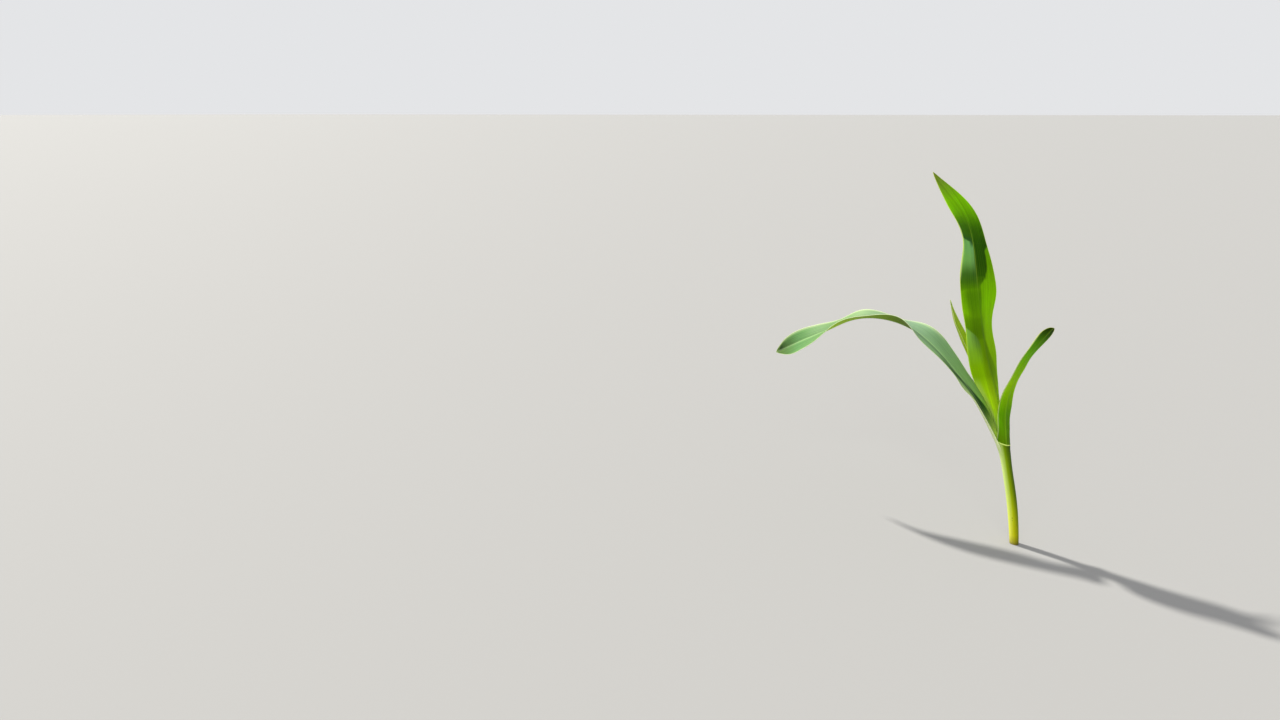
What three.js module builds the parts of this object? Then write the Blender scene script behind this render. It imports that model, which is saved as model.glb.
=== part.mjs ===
// Young maize plant: one leaning stem and four leaves.
// Millimetres, +Z up. The origin is the middle of the stem's flat cut at ground level.
// Seen from the front, which is along +Y, +X is to the right.

import * as THREE from 'three';

// Stem: closed leaf sheaths from the ground to the lowest collar.
// Lean is in degrees from upright towards -X. Both lists are spaced evenly from foot to collar.
const STEM = {
  length: 52.2,
  lean: [6, 8, 10.5, 13, 13, 14.5],
  width: [4.6, 5.0, 5.2, 5.2, 5.3, 6.4],
  flatness: 0.9,
  rings: 26,
  sides: 24,
};

// The leaves stand in two ranks, and the stem is widest along them. Leaves 1 and 3 leave it on its
// near right side.
const NEAR_RANK = -40;

// Every list below is spaced evenly from a leaf's root to its tip.
// face: compass direction of the leaf's under side at the root, degrees from +X towards +Y
// out: distance of the root from the stem's middle, towards rank, and lift: its height above the stem
// bend: the rib's lean from upright, towards face, and sway: its lean to the side
// twist: turn of the blade about its rib
// fold: rise of each half blade at the rib, and curl: what it rises further by the margin
// left and right: breadth of each half blade laid flat, as seen from its under side
// thick: depth of the blade at its rib
// steps: rings along the leaf, and bluntness: share of the length over which the tip rounds off
const LEAVES = {
  leaf_1: {
    face: -40, rank: -60, out: 3.0, lift: 0.85, length: 68, thick: 0.72, steps: 24, bluntness: 0.1,
    bend: [-3, -1, 10, 20, 26, 33, 37],
    sway: [-11, -9, -6, 0, 3, 7, 9],
    twist: [-20, -19, -7, 8, 8, 0, -17],
    fold: [4, 12, 8, 3, 3, 2, 8],
    curl: [44, 30, 5, -2, -3, -3, 0],
    left: [3.2, 3.4, 3.5, 3.8, 3.7, 3.9, 4.0, 4.1, 4.0],
    right: [3.2, 3.8, 4.0, 3.8, 3.9, 3.9, 3.8, 3.6, 3.0],
  },
  leaf_2: {
    face: 160, rank: 148, out: 3.3, lift: 0.7, length: 156.5, thick: 1.6, steps: 54, bluntness: 0.02,
    bend: [23, 30, 41, 46, 57, 77, 98, 121, 118, 119, 118],
    sway: [13, 9, 7, 6, 5, 12, 14, 12, 4, -8, -16],
    twist: [-14, -9, 2, -2, -11, 20, -9, -9, -39, -74, -89],
    fold: [-2, -3, 0, 9, 18, 23, 24, 15, 7, 9, 12],
    curl: [75, 72, 34, 11, 4, -1, 0, -2, -3, 0, 0],
    left: [4.0, 5.2, 5.7, 6.2, 7.1, 8.0, 7.5, 6.2, 5.7, 7.1, 7.2, 7.3, 6.7, 4.4, 1.4],
    right: [4.0, 5.3, 6.2, 6.8, 7.2, 7.4, 7.1, 6.4, 5.9, 6.2, 6.6, 6.5, 5.9, 4.2, 1.5],
  },
  leaf_3: {
    face: -65, rank: NEAR_RANK, out: 1.0, lift: 0.72, length: 142, thick: 1.44, steps: 44, bluntness: 0.02,
    bend: [-4, -3, -5, -9, -16, -26, -38, -40],
    sway: [-12, -18, -16, -9, -4, -6, -23, -29],
    twist: [3, 2, 14, 27, 13, 30, 8, -4],
    fold: [20, 28, 17, 8, -1, -6, 0, 13],
    curl: [40, 38, 15, 5, -5, -9, -4, 13],
    left: [1.5, 3.3, 5.6, 7.9, 8.5, 8.4, 9.1, 9.3, 9.1, 8.2, 6.4, 3.5, 0.6],
    right: [1.5, 3.2, 5.3, 7.4, 9.1, 9.8, 10.5, 9.4, 8.8, 7.9, 6.2, 3.2, 0.6],
  },
  leaf_4: {
    face: 140, rank: 115, out: 1.7, lift: 0.5, length: 74.5, thick: 0.76, steps: 26, bluntness: 0.02,
    bend: [17, 21, 22, 20, 11],
    sway: [11, 14, 17, 16, 6],
    twist: [0, 0, 0, 0, 0],
    fold: [10, 20, 20, 22, 22],
    curl: [30, 80, 86, 70, 50],
    left: [0.7, 2, 4, 3.4, 0.5],
    right: [0.7, 2, 4, 3.4, 0.5],
  },
};

// A leaf that bends far is in pieces along its length, as shares of it, with a small gap between.
const PIECE_GAP = 0.3;
const PIECES = [
  { name: 'leaf_1', leaf: 'leaf_1', from: 0, to: 1 },
  { name: 'leaf_2_rising', leaf: 'leaf_2', from: 0, to: 0.25 },
  { name: 'leaf_2_shoulder', leaf: 'leaf_2', from: 0.25, to: 0.45 },
  { name: 'leaf_2_arch', leaf: 'leaf_2', from: 0.45, to: 0.68 },
  { name: 'leaf_2_drooping', leaf: 'leaf_2', from: 0.68, to: 1 },
  { name: 'leaf_3_lower', leaf: 'leaf_3', from: 0, to: 0.65 },
  { name: 'leaf_3_upper', leaf: 'leaf_3', from: 0.65, to: 1 },
  { name: 'leaf_4', leaf: 'leaf_4', from: 0, to: 1 },
];

// Points across a blade from margin to margin, and the margin's share of the rib's depth
const BLADE_COLUMNS = 9;
const MARGIN_DEPTH = 0.5;

// Over its last part a blade gets thinner, to this share of its depth at the tip. The tip's end
// keeps a share of the breadth, so that it closes in a small face and not in a point.
const TIP_TAPER = 0.12;
const TIP_DEPTH = 0.35;
const TIP_BREADTH = 0.2;

// Steps in which the stem's middle and a leaf's rib are summed up, and the least curl in radians
const STEM_SUBSTEPS = 60;
const RIB_SUBSTEPS = 240;
const LEAST_CURL = 1e-4;

const COLORS = { stem: 0xb4c832, leaf_1: 0x4f9a1e, leaf_2: 0x6ea37a, leaf_3: 0x6aa51c, leaf_4: 0x9dbb3c };
const ROUGHNESS = 0.5;

const QUARTER_TURN = 90;
const radians = THREE.MathUtils.degToRad;

// Smooth value between evenly spaced stations, with t from 0 at the first to 1 at the last
function along(stations, t) {
  const last = stations.length - 1;
  const place = THREE.MathUtils.clamp(t, 0, 1) * last;
  const i = Math.min(Math.floor(place), last - 1);
  const f = place - i;
  const b = stations[i];
  const c = stations[i + 1];
  const a = i > 0 ? stations[i - 1] : 2 * b - c;
  const d = i + 2 <= last ? stations[i + 2] : 2 * c - b;
  return b + 0.5 * f * (c - a + f * (2 * a - 5 * b + 4 * c - d + f * (3 * (b - c) + d - a)));
}

function compass(degrees) {
  return new THREE.Vector3(Math.cos(radians(degrees)), Math.sin(radians(degrees)), 0);
}

// Middle of the stem at a share t of its length
function stemAt(t) {
  const middle = new THREE.Vector3();
  const step = (STEM.length * t) / STEM_SUBSTEPS;
  for (let k = 0; k < STEM_SUBSTEPS; k += 1) {
    const lean = radians(along(STEM.lean, (t * (k + 0.5)) / STEM_SUBSTEPS));
    middle.x -= Math.sin(lean) * step;
    middle.z += Math.cos(lean) * step;
  }
  return middle;
}

// One level ring of the stem: its wide way lies along the leaf ranks
function stemRing(t) {
  const middle = stemAt(t);
  const wide = compass(NEAR_RANK);
  const deep = compass(NEAR_RANK + QUARTER_TURN);
  const radius = along(STEM.width, t) / 2;
  return Array.from({ length: STEM.sides }, (_, k) => {
    const turn = (2 * Math.PI * k) / STEM.sides;
    return middle.clone()
      .addScaledVector(wide, radius * Math.cos(turn))
      .addScaledVector(deep, radius * STEM.flatness * Math.sin(turn));
  });
}

// The rib's direction, the blade's side and its upper face, at a share t of the leaf
function leafFrame(leaf, t) {
  const bend = radians(along(leaf.bend, t));
  const sway = radians(along(leaf.sway, t));
  const twist = radians(along(leaf.twist, t));
  const out = compass(leaf.face);
  const across = compass(leaf.face + QUARTER_TURN);
  const rise = new THREE.Vector3(0, 0, Math.cos(bend)).addScaledVector(out, Math.sin(bend));
  const upper = new THREE.Vector3(0, 0, Math.sin(bend)).addScaledVector(out, -Math.cos(bend));
  const tangent = rise.clone().multiplyScalar(Math.cos(sway)).addScaledVector(across, Math.sin(sway));
  const side = across.clone().multiplyScalar(Math.cos(sway)).addScaledVector(rise, -Math.sin(sway));
  return {
    tangent,
    side: side.clone().multiplyScalar(Math.cos(twist)).addScaledVector(upper, Math.sin(twist)),
    upper: upper.clone().multiplyScalar(Math.cos(twist)).addScaledVector(side, -Math.sin(twist)),
  };
}

function leafRoot(leaf) {
  const middle = stemAt(1).addScaledVector(compass(leaf.rank), leaf.out);
  middle.z += leaf.lift;
  return middle;
}

// Points of the rib from share 0 to 1, evenly spaced
function ribPoints(leaf) {
  const points = [leafRoot(leaf)];
  for (let k = 0; k < RIB_SUBSTEPS; k += 1) {
    const { tangent } = leafFrame(leaf, (k + 0.5) / RIB_SUBSTEPS);
    points.push(points[k].clone().addScaledVector(tangent, leaf.length / RIB_SUBSTEPS));
  }
  return points;
}

function pointOnRib(points, t) {
  const place = THREE.MathUtils.clamp(t, 0, 1) * (points.length - 1);
  const i = Math.min(Math.floor(place), points.length - 2);
  return points[i].clone().lerp(points[i + 1], place - i);
}

// Breadth of one half of the blade, rounded off over the last part of its length
function halfBreadth(leaf, half, t) {
  const intoTip = Math.max(0, (t - 1 + leaf.bluntness) / leaf.bluntness);
  return along(half, t) * Math.max(Math.sqrt(1 - intoTip * intoTip), TIP_BREADTH);
}

// Ring round the blade's section: the upper face from side to side, then the under face back
function leafRing(leaf, points, t) {
  const { side, upper } = leafFrame(leaf, t);
  const middle = pointOnRib(points, t);
  const left = halfBreadth(leaf, leaf.left, t);
  const right = halfBreadth(leaf, leaf.right, t);
  const fold = radians(along(leaf.fold, t));
  const curl = radians(along(leaf.curl, t)) || LEAST_CURL;
  const nearTip = THREE.MathUtils.smoothstep(t, 1 - TIP_TAPER, 1);
  const depth = leaf.thick * (1 - (1 - TIP_DEPTH) * nearTip);
  const over = [];
  const under = [];
  for (let k = 0; k < BLADE_COLUMNS; k += 1) {
    const u = -1 + (2 * k) / (BLADE_COLUMNS - 1);
    const a = Math.abs(u);
    const half = u < 0 ? left : right;
    const slope = fold + curl * a;
    const reach = (Math.sign(u) * half * (Math.sin(slope) - Math.sin(fold))) / curl;
    const rise = (half * (Math.cos(fold) - Math.cos(slope))) / curl;
    const lean = Math.sign(u) * slope;
    const halfDepth = (depth * (1 - (1 - MARGIN_DEPTH) * a)) / 2;
    const offset = side.clone().multiplyScalar(-Math.sin(lean) * halfDepth)
      .addScaledVector(upper, Math.cos(lean) * halfDepth);
    const centre = middle.clone().addScaledVector(side, reach).addScaledVector(upper, rise);
    over.push(centre.clone().add(offset));
    under.unshift(centre.clone().sub(offset));
  }
  return over.concat(under);
}

// Closed solid through rings of equally many points. Each end is capped by strips across the ring.
function loft(rings, capTriangles) {
  const size = rings[0].length;
  const positions = rings.flat().flatMap((p) => [p.x, p.y, p.z]);
  const faces = [];
  for (let r = 0; r + 1 < rings.length; r += 1) {
    for (let k = 0; k < size; k += 1) {
      const next = (k + 1) % size;
      const [a, b] = [r * size + k, r * size + next];
      faces.push(a, a + size, b, b, a + size, b + size);
    }
  }
  const end = (rings.length - 1) * size;
  for (const [a, b, c] of capTriangles) {
    faces.push(a, b, c, end + a, end + c, end + b);
  }
  const geometry = new THREE.BufferGeometry();
  geometry.setAttribute('position', new THREE.Float32BufferAttribute(positions, 3));
  geometry.setIndex(faces);
  geometry.computeVertexNormals();
  return geometry;
}

// Triangles across a ring whose second half runs back beside its first
function stripCap(size) {
  const triangles = [];
  for (let k = 0; k < size / 2 - 1; k += 1) {
    const [back, backNext] = [size - 1 - k, size - 2 - k];
    triangles.push([k, k + 1, back], [k + 1, backNext, back]);
  }
  return triangles;
}

// Flips a solid whose faces point inwards
function facingOut(geometry) {
  const { position } = geometry.attributes;
  const index = geometry.index.array;
  const [a, b, c] = [new THREE.Vector3(), new THREE.Vector3(), new THREE.Vector3()];
  let volume = 0;
  for (let k = 0; k < index.length; k += 3) {
    a.fromBufferAttribute(position, index[k]);
    b.fromBufferAttribute(position, index[k + 1]);
    c.fromBufferAttribute(position, index[k + 2]);
    volume += a.dot(b.cross(c));
  }
  if (volume < 0) {
    for (let k = 0; k < index.length; k += 3) {
      [index[k], index[k + 1]] = [index[k + 1], index[k]];
    }
  }
  geometry.computeVertexNormals();
  return geometry;
}

function makeMesh(name, rings, color) {
  const material = new THREE.MeshStandardMaterial({ color, roughness: ROUGHNESS, metalness: 0 });
  const mesh = new THREE.Mesh(facingOut(loft(rings, stripCap(rings[0].length))), material);
  mesh.name = name;
  return mesh;
}

function makeStem() {
  const rings = Array.from({ length: STEM.rings }, (_, k) => stemRing(k / (STEM.rings - 1)));
  return makeMesh('stem', rings, COLORS.stem);
}

function makePiece({ name, leaf: leafName, from, to }) {
  const leaf = LEAVES[leafName];
  const halfGap = PIECE_GAP / 2 / leaf.length;
  const start = from > 0 ? from + halfGap : 0;
  const stop = to < 1 ? to - halfGap : 1;
  const points = ribPoints(leaf);
  const steps = Math.round(leaf.steps * (to - from));
  const rings = Array.from({ length: steps + 1 }, (_, k) => (
    leafRing(leaf, points, start + ((stop - start) * k) / steps)));
  return makeMesh(name, rings, COLORS[leafName]);
}

const plant = new THREE.Group();
plant.add(makeStem());
for (const piece of PIECES) {
  plant.add(makePiece(piece));
}

export default plant;
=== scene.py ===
# Looks of a young maize plant: one leaning sheathed stem and four leaves.
# The plant's sizes are written in millimetres and turned into metres where a mesh is made.
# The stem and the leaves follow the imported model's own rule, with thin blades and finer relief.

import math

import bpy
import numpy as np
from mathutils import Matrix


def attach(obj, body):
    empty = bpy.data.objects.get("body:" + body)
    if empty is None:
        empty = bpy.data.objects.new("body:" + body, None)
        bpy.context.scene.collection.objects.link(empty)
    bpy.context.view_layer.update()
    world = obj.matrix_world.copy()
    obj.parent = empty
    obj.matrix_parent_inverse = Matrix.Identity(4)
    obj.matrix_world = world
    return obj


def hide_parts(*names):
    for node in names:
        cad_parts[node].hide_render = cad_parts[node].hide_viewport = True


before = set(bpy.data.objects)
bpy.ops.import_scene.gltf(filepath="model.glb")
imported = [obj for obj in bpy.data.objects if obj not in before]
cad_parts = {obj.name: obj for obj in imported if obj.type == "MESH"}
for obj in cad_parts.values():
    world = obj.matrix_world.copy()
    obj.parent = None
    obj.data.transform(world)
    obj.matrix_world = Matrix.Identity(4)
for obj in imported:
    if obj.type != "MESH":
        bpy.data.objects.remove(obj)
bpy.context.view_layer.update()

MM = 0.001
SEED = 7
TURN = 2 * math.pi

# Least width of a fade and least length, so that nothing is divided by zero
LEAST_FADE = 1e-6
LEAST_LENGTH = 1e-9

# Stem: closed leaf sheaths from the ground to the lowest collar. Lean is in degrees from upright towards -X
# and width is across it along the leaf ranks, both spaced evenly from foot to collar. flatness is its depth
# as a share of its width.
STEM = dict(
    length=52.2, flatness=0.9,
    lean=[6, 8, 10.5, 13, 13, 14.5],
    width=[4.6, 5.0, 5.2, 5.2, 5.3, 6.4],
)

# Compass direction of the leaf rank on the near right side, in degrees from +X towards +Y
NEAR_RANK = -40

# Each list below is spaced evenly from a leaf's root to its tip.
# face: compass direction of the leaf's under side at the root
# out: distance of the root from the stem's middle, towards rank, and lift: its height above the stem
# bend: the rib's lean from upright, towards face, and sway: its lean to the side
# twist: turn of the blade about its rib
# fold: rise of each half blade at the rib, and curl: what it rises further by the margin
# left and right: breadth of each half blade laid flat, as seen from its under side
# bluntness: share of the length over which the tip rounds off
LEAVES = {
    "leaf_1": dict(
        face=-40, rank=-60, out=3.2, lift=0.2, length=68.5, bluntness=0.1,
        bend=[-3, -1, 10, 20, 26, 33, 37],
        sway=[-11, -9, -6, 0, 3, 7, 9],
        twist=[-20, -19, -7, 8, 8, 0, -17],
        fold=[2, 14, 8, 3, 3, 2, 8],
        curl=[86, 34, 5, -2, -3, -3, 0],
        left=[5.2, 3.5, 3.5, 3.8, 3.7, 3.9, 4.0, 4.1, 4.2],
        right=[4.6, 4.3, 4.1, 3.8, 3.9, 3.9, 3.8, 3.6, 3.0],
    ),
    "leaf_2": dict(
        face=160, rank=148, out=3.35, lift=0.4, length=156.5, bluntness=0.02,
        bend=[23, 30, 41, 46, 57, 77, 98, 121, 118, 119, 118],
        sway=[13, 9, 7, 6, 5, 12, 14, 12, 4, -8, -16],
        twist=[-14, -9, 2, -2, -11, 20, -9, -9, -39, -74, -89],
        fold=[-2, -3, 0, 9, 18, 23, 24, 15, 7, 9, 12],
        curl=[92, 72, 34, 11, 4, -1, 0, -2, -3, 0, 0],
        left=[5.9, 5.7, 5.7, 6.2, 7.1, 8.0, 7.5, 6.2, 5.7, 7.1, 7.2, 7.3, 6.7, 4.7, 0.5],
        right=[5.9, 6.2, 6.4, 6.8, 7.2, 7.4, 7.1, 6.4, 5.9, 6.2, 6.6, 6.5, 5.9, 4.5, 0.5],
    ),
    "leaf_3": dict(
        face=-65, rank=NEAR_RANK, out=1.12, lift=1.0, length=142, bluntness=0.02,
        bend=[-4, -3, -5, -9, -16, -26, -38, -40],
        sway=[-12, -18, -16, -9, -4, -6, -23, -29],
        twist=[3, 2, 14, 27, 13, 30, 8, -4],
        fold=[36, 34, 17, 8, -1, -6, 0, 13],
        curl=[75, 48, 15, 5, -5, -9, -4, 13],
        left=[4.2, 5.3, 6.4, 8.0, 8.5, 8.4, 9.1, 9.3, 9.1, 8.2, 6.4, 3.5, 0.4],
        right=[3.4, 4.7, 6.1, 7.6, 9.1, 9.8, 10.5, 9.4, 8.8, 7.9, 6.2, 3.2, 0.4],
    ),
    "leaf_4": dict(
        face=140, rank=115, out=1.7, lift=0.8, length=74.5, bluntness=0.02,
        bend=[17, 21, 22, 20, 11],
        sway=[11, 14, 17, 16, 6],
        twist=[0, 0, 0, 0, 0],
        fold=[20, 20, 20, 22, 22],
        curl=[90, 90, 86, 70, 50],
        left=[2, 3.2, 4, 3.3, 0.2],
        right=[2, 3.2, 4, 3.3, 0.2],
    ),
}

# Imported nodes that each leaf's mesh stands for
STANDS_FOR = {
    "leaf_1": ["leaf_1"],
    "leaf_2": ["leaf_2_rising", "leaf_2_shoulder", "leaf_2_arch", "leaf_2_drooping"],
    "leaf_3": ["leaf_3_lower", "leaf_3_upper"],
    "leaf_4": ["leaf_4"],
}


def along(stations, t):
    """Smooth value between evenly spaced stations, with t from 0 at the first to 1 at the last.

    The curve is a Catmull-Rom spline.
    """
    v = np.asarray(stations, float)
    last = len(v) - 1
    place = np.clip(np.asarray(t, float), 0, 1) * last
    i = np.minimum(place.astype(int), last - 1)
    f = place - i
    b, c = v[i], v[i + 1]
    a = np.where(i > 0, v[np.maximum(i - 1, 0)], 2 * b - c)
    d = np.where(i + 2 <= last, v[np.minimum(i + 2, last)], 2 * c - b)
    return b + 0.5 * f * (c - a + f * (2 * a - 5 * b + 4 * c - d + f * (3 * (b - c) + d - a)))


def compass(degrees):
    angle = math.radians(degrees)
    return np.array([math.cos(angle), math.sin(angle), 0.0])


def smooth(low, high, value):
    """0 below low, 1 above high, and a smooth step between."""
    x = np.clip((np.asarray(value, float) - low) / (high - low), 0, 1)
    return x * x * (3 - 2 * x)


def fade(beyond, width):
    """1 up to an edge and 0 past it, with a smooth step of the width given."""
    return 1 - smooth(0, max(width, LEAST_FADE), beyond)


def bell(value, width):
    return np.exp(-((value / width) ** 2))


STEM_STEPS = 240


def stem_line():
    """Points of the stem's middle from the ground to the collar, evenly spaced."""
    middle = (np.arange(STEM_STEPS) + 0.5) / STEM_STEPS
    lean = np.radians(along(STEM["lean"], middle))
    steps = np.stack([-np.sin(lean), np.zeros(STEM_STEPS), np.cos(lean)], 1) * STEM["length"] / STEM_STEPS
    return np.vstack([np.zeros(3), np.cumsum(steps, 0)])


STEM_LINE = stem_line()
STEM_TOP = STEM_LINE[-1]
TOP_LEAN = math.radians(STEM["lean"][-1])
STEM_RISE = np.array([-math.sin(TOP_LEAN), 0, math.cos(TOP_LEAN)])


def stem_middle(z):
    """Middle of the stem at heights z, carried on straight above the collar."""
    x = np.interp(z, STEM_LINE[:, 2], STEM_LINE[:, 0]) - np.maximum(z - STEM_TOP[2], 0) * math.tan(TOP_LEAN)
    return np.stack([x, np.zeros_like(z), z], -1)


def stem_radius(z, turn):
    """Radius of the stem at heights z, towards turn in radians from the leaf ranks."""
    wide = along(STEM["width"], z / STEM_TOP[2]) / 2
    deep = wide * STEM["flatness"]
    return wide * deep / np.hypot(deep * np.cos(turn), wide * np.sin(turn))


def leaf_frame(leaf, t):
    """The rib's direction, the blade's side and its upper face, at shares t of the leaf."""
    bend, sway, twist = (np.radians(along(leaf[key], t))[:, None] for key in ("bend", "sway", "twist"))
    out, across = compass(leaf["face"]), compass(leaf["face"] + 90)
    up = np.array([0.0, 0.0, 1.0])
    rise = np.cos(bend) * up + np.sin(bend) * out
    upper = np.sin(bend) * up - np.cos(bend) * out
    tangent = np.cos(sway) * rise + np.sin(sway) * across
    side = np.cos(sway) * across - np.sin(sway) * rise
    return (
        tangent,
        np.cos(twist) * side + np.sin(twist) * upper,
        np.cos(twist) * upper - np.sin(twist) * side,
    )


RIB_STEPS = 480


def rib_points(leaf, t):
    """Points of the rib at shares t of the leaf."""
    middle = (np.arange(RIB_STEPS) + 0.5) / RIB_STEPS
    tangent = leaf_frame(leaf, middle)[0]
    root = STEM_TOP + leaf["out"] * compass(leaf["rank"]) + np.array([0, 0, leaf["lift"]])
    points = np.vstack([root, root + np.cumsum(tangent, 0) * leaf["length"] / RIB_STEPS])
    place = np.linspace(0, 1, RIB_STEPS + 1)
    return np.stack([np.interp(t, place, points[:, k]) for k in range(3)], 1)


# Share of its breadth that a leaf keeps at the very tip
LEAST_TIP = 0.02


def half_breadths(leaf, t, u):
    """Breadth of the half blade that each column lies on, rounded off over the last part of the leaf."""
    into_tip = np.clip((t - 1 + leaf["bluntness"]) / leaf["bluntness"], 0, 1)
    end = np.maximum(np.sqrt(1 - into_tip ** 2), LEAST_TIP)[:, None]
    left, right = (along(leaf[key], t)[:, None] for key in ("left", "right"))
    return np.where(u[None, :] < 0, left, right) * end


# Blade: thickness at the rib and the margin, and the share of it that is lost near the tip
RIB_DEPTH = 0.36
MARGIN_DEPTH = 0.2
NEAR_TIP = dict(start=0.9, thinning=0.6)

# Keel under the rib and groove over it. They are full where a half blade is as broad as room, rise between
# the shares of the leaf in start, and have lost the share in fading at the tip.
KEEL = dict(height=0.42, width=0.75)
GROOVE = dict(height=0.16, width=0.5)
KEEL_SPREAD = dict(room=1.5, start=(-0.03, 0.02), fading=0.6)

# Relief of the main veins: height under the blade, share of it above, sharpness, and share of a half blade
# beside the margin over which it fades out
VEIN_RELIEF = dict(height=0.035, above=0.4, sharpness=3, plain=0.12)

# Least curl in radians, so that nothing is divided by zero
LEAST_CURL = 1e-4

# Rows along a leaf for each millimetre, and columns from margin to margin, closer at the margins
ROWS_PER_MM = 2.2
COLUMNS = 97
MARGIN_CLOSENESS = 0.86

# Below its root each blade runs down into the stem as the upper end of its sheath. Its foot lies at a depth
# below the root and a sink under the stem's skin, and pull is how far it first keeps the blade's direction.
SHEATH_ROWS = 30
SHEATH_DEPTHS = {"leaf_1": 7.0, "leaf_2": 9.0, "leaf_3": 6.0, "leaf_4": 6.0}
SHEATH_SINK = 0.35
SHEATH_PULL = 0.8

# Main veins on each half, share of the full keel and groove, and waves of the two margins as
# (share of the leaf at the middle, spread, height) on the left side and on the right side
VEINS = {"leaf_1": 4, "leaf_2": 7, "leaf_3": 8, "leaf_4": 3}
KEELS = {"leaf_1": 0.6, "leaf_2": 1.0, "leaf_3": 1.0, "leaf_4": 0.5}
WAVES = {
    "leaf_1": ([(0.45, 0.06, 0.25)], [(0.6, 0.07, -0.3)]),
    "leaf_2": ([(0.3, 0.05, 0.4), (0.78, 0.05, 0.4)], [(0.2, 0.035, -1.3), (0.86, 0.04, 0.4)]),
    "leaf_3": ([(0.3, 0.05, -0.4), (0.47, 0.05, 0.5)], [(0.55, 0.06, -0.5), (0.75, 0.05, 0.4)]),
    "leaf_4": ([], []),
}

# Power by which a margin's wave grows from the rib outwards
MARGIN_POWER = 2.5

# Slow unevenness of a blade: height, waves along its length and across it, and the share of the leaf over
# which it sets in
UNEVEN = dict(height=0.1, count=7, slowest=2.0, fastest=9.0, across=2.4, start=0.1)


def margin_wave(waves, t):
    return sum((height * bell(t - middle, spread) for middle, spread, height in waves), np.zeros_like(t))


def unevenness(name, t, u):
    """Low seeded swells over a blade, rows by columns."""
    random = np.random.default_rng(SEED + len(LEAVES) * list(LEAVES).index(name))
    total = np.zeros((len(t), len(u)))
    for _ in range(UNEVEN["count"]):
        pace = random.uniform(UNEVEN["slowest"], UNEVEN["fastest"])
        spread = random.uniform(-UNEVEN["across"], UNEVEN["across"])
        phase = random.uniform(0, TURN)
        total += np.sin(TURN * pace * t[:, None] + spread * u[None, :] + phase)
    total *= UNEVEN["height"] / math.sqrt(UNEVEN["count"])
    return total * np.abs(u)[None, :] * smooth(0, UNEVEN["start"], t)[:, None]


def blade_layer(name):
    """Middle layer of a blade from its root to its tip: points and upper normals, rows by columns."""
    leaf = LEAVES[name]
    t = np.linspace(0, 1, int(leaf["length"] * ROWS_PER_MM) + 1)
    spread = np.linspace(-math.pi / 2, math.pi / 2, COLUMNS) * MARGIN_CLOSENESS
    u = np.sin(spread) / math.sin(math.pi / 2 * MARGIN_CLOSENESS)
    _, side, upper = leaf_frame(leaf, t)
    half = half_breadths(leaf, t, u)
    fold = np.radians(along(leaf["fold"], t))[:, None]
    curl = np.radians(along(leaf["curl"], t))[:, None]
    curl = np.where(np.abs(curl) < LEAST_CURL, LEAST_CURL, curl)
    a, sign = np.abs(u)[None, :], np.sign(u)[None, :]
    slope = fold + curl * a
    reach = sign * half * (np.sin(slope) - np.sin(fold)) / curl
    rise = half * (np.cos(fold) - np.cos(slope)) / curl
    lean = (sign * slope)[..., None]
    normals = np.cos(lean) * upper[:, None, :] - np.sin(lean) * side[:, None, :]
    points = rib_points(leaf, t)[:, None, :] + reach[..., None] * side[:, None, :]
    points = points + rise[..., None] * upper[:, None, :]
    waves = [margin_wave(side_waves, t)[:, None] for side_waves in WAVES[name]]
    lift = np.where(u[None, :] < 0, *waves) * a ** MARGIN_POWER + unevenness(name, t, u)
    return points + lift[..., None] * normals, normals, half, t, u


def sheath_layer(name, root, normals):
    """Rows below a blade's root that bend down into the stem, from the lowest to just under the root.

    Each column is a Hermite curve from the root, down the leaf, to the foot, down the stem.
    """
    depth = SHEATH_DEPTHS[name]
    leaf = LEAVES[name]
    out = root - stem_middle(root[:, 2])
    turn = np.arctan2(out[:, 1], out[:, 0]) - math.radians(NEAR_RANK)
    low = root[:, 2] - depth
    radius = np.minimum(np.hypot(out[:, 0], out[:, 1]), stem_radius(low, turn) - SHEATH_SINK)
    angle = turn + math.radians(NEAR_RANK)
    around = np.stack([np.cos(angle), np.sin(angle), np.zeros_like(angle)], -1)
    foot = stem_middle(low) + radius[:, None] * around
    s = np.linspace(1, 0, SHEATH_ROWS, endpoint=False)[:, None, None]
    down_leaf = -leaf_frame(leaf, np.zeros(1))[0][0] * depth * SHEATH_PULL
    down_stem = -STEM_RISE * depth
    rows = (
        (2 * s ** 3 - 3 * s ** 2 + 1) * root
        + (s ** 3 - 2 * s ** 2 + s) * down_leaf
        + (3 * s ** 2 - 2 * s ** 3) * foot
        + (s ** 3 - s ** 2) * down_stem
    )
    whole = np.concatenate([rows, root[None]])
    facing = np.cross(np.gradient(whole, axis=1), np.gradient(whole, axis=0))
    facing /= np.maximum(np.linalg.norm(facing, axis=2, keepdims=True), LEAST_LENGTH)
    facing *= np.sign((facing[-1] * normals).sum(-1).mean())
    return rows, facing[:-1], -s[:, 0, 0] * depth / leaf["length"]


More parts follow.
